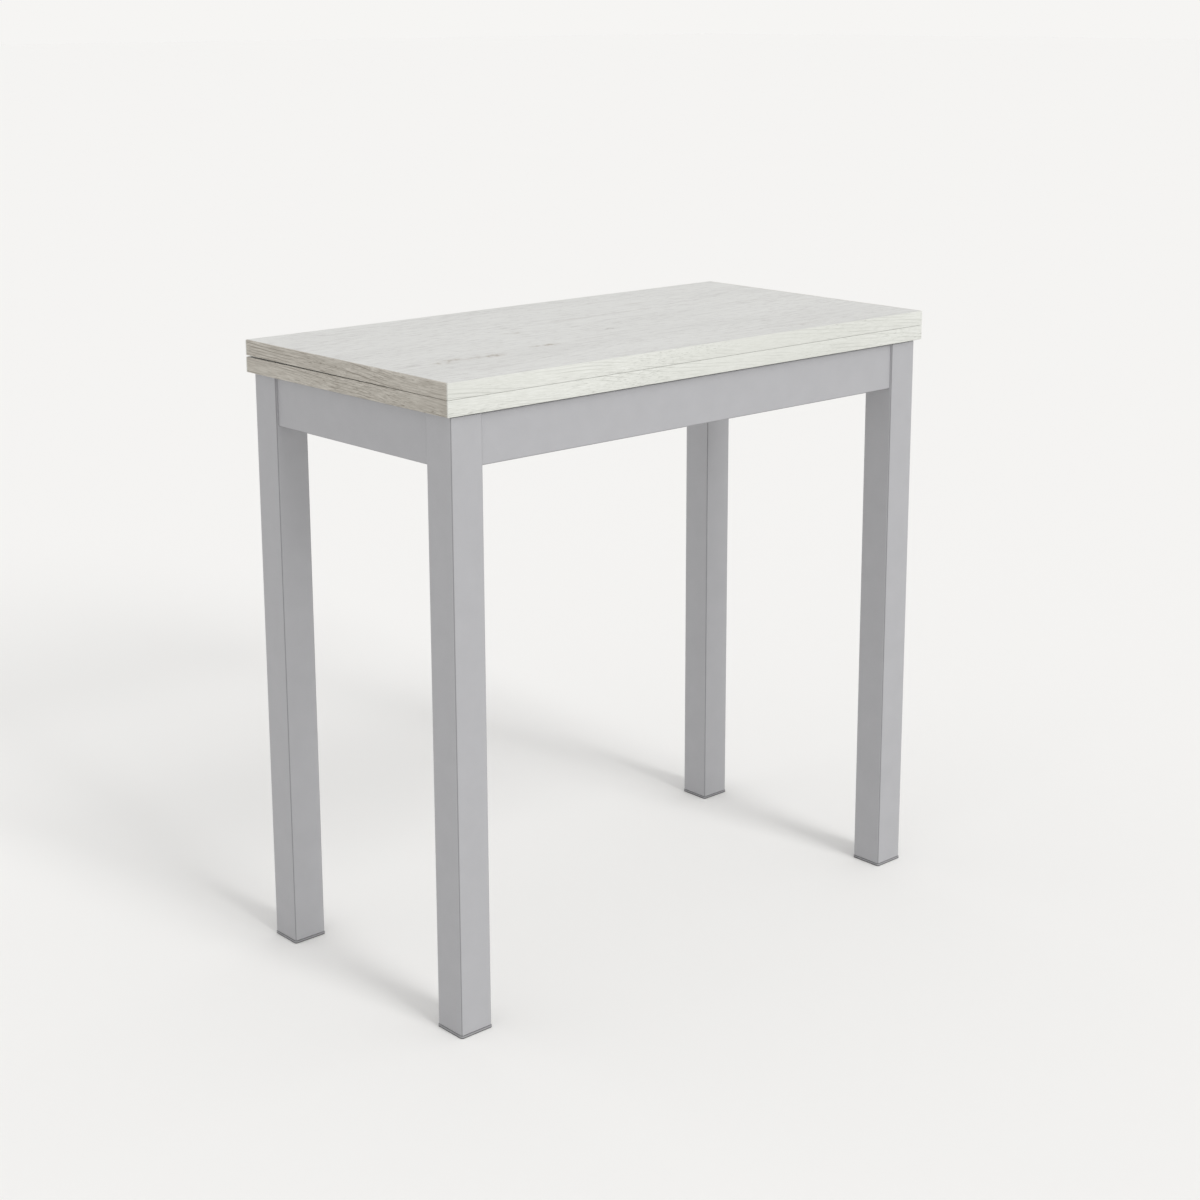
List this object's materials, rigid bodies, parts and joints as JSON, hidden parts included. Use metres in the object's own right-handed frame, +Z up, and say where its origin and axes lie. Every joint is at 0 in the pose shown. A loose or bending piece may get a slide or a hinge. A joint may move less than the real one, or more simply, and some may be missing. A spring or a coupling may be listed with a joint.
{
  "type": "extending table",
  "caption": "Free-standing kitchen table whose swivelling top opens like a book to twice its closed size, on a square-legged steel frame.",
  "frame": {"origin": "on the floor, under the centre of the closed top", "axes": "+X along the length of the table, +Y across it towards the hinged back edge, +Z up"},
  "size_m": [0.8, 0.4001, 0.78],
  "materials": {
    "silver_paint": "satin silver grey powder coat",
    "foot_plastic": "moulded mid-grey plastic",
    "glide_plastic": "moulded black plastic",
    "bush_plastic": "natural white plastic",
    "oak_laminate": "pale grey oak laminate with fine grain along the table",
    "long_edging": "pale edging strip with fine lengthwise grain",
    "end_edging": "warm grey edging strip with fine lengthwise grain",
    "hinge_steel": "bright zinc-plated steel",
    "zinc_steel": "zinc-plated steel"
  },
  "bodies": {
    "frame": {"leg_front_left": "silver_paint", "leg_front_right": "silver_paint", "leg_back_left": "silver_paint", "leg_back_right": "silver_paint", "front_rail": "silver_paint", "back_rail": "silver_paint", "left_rail": "silver_paint", "right_rail": "silver_paint", "foot_front_left": "foot_plastic", "foot_front_right": "foot_plastic", "foot_back_left": "foot_plastic", "foot_back_right": "foot_plastic", "top_glides": "glide_plastic", "cross_member": "silver_paint", "upper_bush": "bush_plastic", "lower_bush": "bush_plastic", "stop_peg": "zinc_steel"},
    "top": {"lower_leaf": "oak_laminate", "lower_front_edging": "long_edging", "lower_back_edging": "long_edging", "lower_left_edging": "end_edging", "lower_right_edging": "end_edging", "pivot_plate": "zinc_steel", "pivot_plate_screws": "zinc_steel", "pivot_bolt": "zinc_steel", "flat_washer": "zinc_steel", "spring_washer": "zinc_steel", "lock_nut": "zinc_steel", "left_hinge_lower_plate": "hinge_steel", "right_hinge_lower_plate": "hinge_steel", "left_hinge_lower_pin": "zinc_steel", "right_hinge_lower_pin": "zinc_steel", "lower_hinge_screws": "zinc_steel"},
    "hinge_links": {"left_hinge_link": "hinge_steel", "right_hinge_link": "hinge_steel"},
    "upper_board": {"upper_leaf": "oak_laminate", "upper_front_edging": "long_edging", "upper_back_edging": "long_edging", "upper_left_edging": "end_edging", "upper_right_edging": "end_edging", "left_hinge_upper_plate": "hinge_steel", "right_hinge_upper_plate": "hinge_steel", "left_hinge_upper_pin": "zinc_steel", "right_hinge_upper_pin": "zinc_steel", "upper_hinge_screws": "zinc_steel"}
  },
  "joints": [
    {"name": "top_swivel", "type": "hinge", "parent": "frame", "child": "top", "pos_m": [0.1, 0.1, 0.725], "axis": [0, 0, 1], "range_deg": [0, 90]},
    {"name": "link_fold", "type": "hinge", "parent": "top", "child": "hinge_links", "pos_m": [0, 0.19615, 0.756], "axis": [-1, 0, 0], "range_deg": [0, 90]},
    {"name": "board_fold", "type": "hinge", "parent": "hinge_links", "child": "upper_board", "pos_m": [0, 0.19615, 0.764], "axis": [-1, 0, 0], "range_deg": [0, 90.25]}
  ]
}
